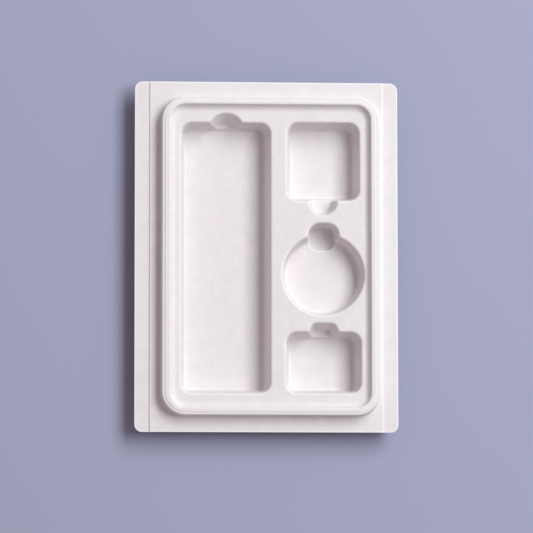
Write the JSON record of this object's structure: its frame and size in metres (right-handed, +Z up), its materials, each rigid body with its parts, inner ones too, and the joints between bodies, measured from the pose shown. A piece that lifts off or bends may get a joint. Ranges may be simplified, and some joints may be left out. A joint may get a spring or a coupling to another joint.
{
  "type": "molded pulp packaging insert",
  "caption": "Shallow molded pulp insert: a flat flange and raised rim around a sunken deck with rounded pockets for items, each with a finger notch.",
  "frame": {"origin": "centre of the flange outline in plan, at the height of the underside of the deepest pocket floors", "axes": "X across the insert, Y along its length, from the short pocket towards the square one, Z up out of the open face"},
  "size_m": [0.18, 0.24, 0.0237],
  "materials": {
    "pulp": "matte"
  },
  "bodies": {
    "root": {"insert_tray": "pulp"}
  },
  "joints": []
}
